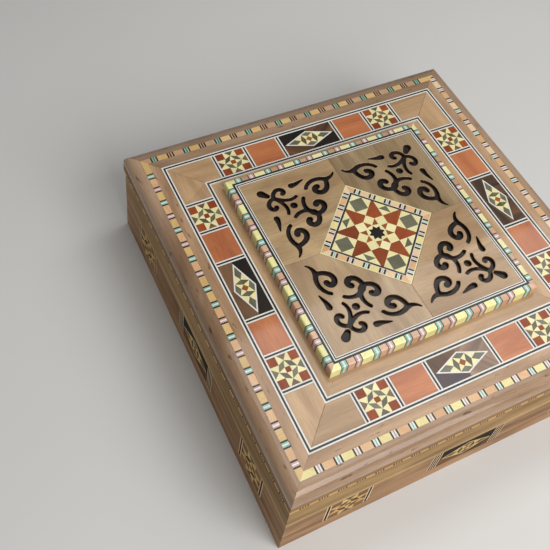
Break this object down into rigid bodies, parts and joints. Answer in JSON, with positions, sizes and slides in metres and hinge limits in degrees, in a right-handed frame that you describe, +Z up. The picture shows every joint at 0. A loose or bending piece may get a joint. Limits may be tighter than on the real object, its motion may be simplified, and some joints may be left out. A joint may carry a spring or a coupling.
{
  "type": "chess box with hinged lid",
  "caption": "Square inlaid wooden box for chessmen, with a velvet-lined inside parted in two and a hinged lid that carries a raised plateau of pierced scrolls round a star tile.",
  "frame": {"origin": "middle of the underside, on the surface that the box stands on", "axes": "+Z up through the lid; +Y to the hinged back; +X to the right of someone facing the front"},
  "size_m": [0.3, 0.3041, 0.0988],
  "materials": {
    "carcase_wood": "satin lacquered hardwood",
    "walnut": "gloss lacquered walnut veneer",
    "olive_wood": "gloss lacquered golden olive veneer",
    "pale_wood": "gloss lacquered pale veneer",
    "dark_wood": "gloss lacquered dark veneer",
    "red_wood": "gloss lacquered red veneer",
    "marquetry": "gloss lacquered star marquetry in cream, red and olive veneers",
    "mosaic": "gloss lacquered mosaic banding of coloured slips",
    "string_inlay": "gloss lacquered white, black and white string inlay",
    "velvet": "dark red velvet",
    "brass": "satin brass"
  },
  "bodies": {
    "box": {"bottom_panel": "carcase_wood", "front_wall": "carcase_wood", "back_wall": "carcase_wood", "left_wall": "carcase_wood", "right_wall": "carcase_wood", "partition": "carcase_wood", "left_floor_pad": "velvet", "right_floor_pad": "velvet", "wall_lining": "velvet", "base_band": "pale_wood", "pale_line": "pale_wood", "upper_band": "olive_wood", "side_diamond_panels": "dark_wood", "side_star_tiles": "marquetry", "side_bars": "string_inlay", "side_fields": "walnut", "corner_fields": "walnut", "left_hinge_box_leaf": "brass", "right_hinge_box_leaf": "brass", "hinge_pins": "brass"},
    "lid": {"lid_front_wall": "carcase_wood", "lid_back_wall": "carcase_wood", "lid_left_wall": "carcase_wood", "lid_right_wall": "carcase_wood", "edge_mosaic": "mosaic", "lid_front_margin": "walnut", "lid_back_margin": "walnut", "lid_left_margin": "walnut", "lid_right_margin": "walnut", "top_mosaic": "mosaic", "lid_board": "carcase_wood", "lid_pad": "velvet", "outer_string": "string_inlay", "middle_string": "string_inlay", "divider_strings": "string_inlay", "diamond_panels": "dark_wood", "red_tiles": "red_wood", "star_tiles": "marquetry", "corner_panels": "walnut", "inner_band": "walnut", "plateau_board": "dark_wood", "bead_mouldings": "mosaic", "inner_string": "string_inlay", "pierced_panel_back_right": "walnut", "pierced_panel_back_left": "walnut", "pierced_panel_front_left": "walnut", "pierced_panel_front_right": "walnut", "centre_tile": "marquetry", "centre_line": "dark_wood", "centre_border": "mosaic", "left_hinge_lid_leaf": "brass", "right_hinge_lid_leaf": "brass"}
  },
  "joints": [
    {"name": "lid_hinge", "type": "hinge", "parent": "box", "child": "lid", "pos_m": [0, 0.1522, 0.07125], "axis": [-1, 0, 0], "range_deg": [0, 100]}
  ]
}
